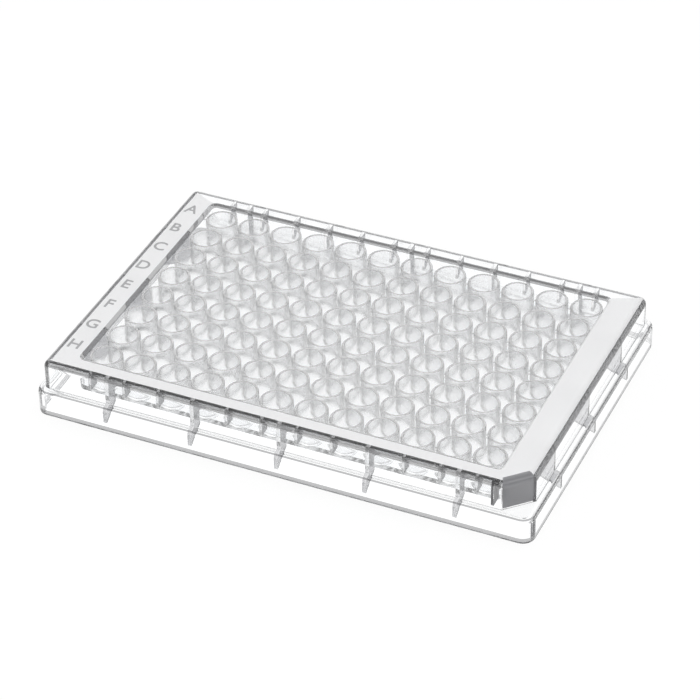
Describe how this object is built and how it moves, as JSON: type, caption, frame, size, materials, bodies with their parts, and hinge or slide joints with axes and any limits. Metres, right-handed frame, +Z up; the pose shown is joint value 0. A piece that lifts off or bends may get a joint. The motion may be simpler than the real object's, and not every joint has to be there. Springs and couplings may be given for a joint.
{
  "type": "well plate",
  "caption": "Clear shallow plate with a stepped skirt and a raised frame round a square grid of round-bottomed wells.",
  "frame": {"origin": "centre of the footprint, on the surface that the plate stands on", "axes": "+X along a row from column 1 to the last column, +Y from row H to row A, +Z up out of the wells"},
  "size_m": [0.1278, 0.0854, 0.0146],
  "materials": {
    "clear_plastic": "clear polystyrene, polished, matt under the side bands"
  },
  "bodies": {
    "root": {"well_plate": "clear_plastic"}
  },
  "joints": []
}
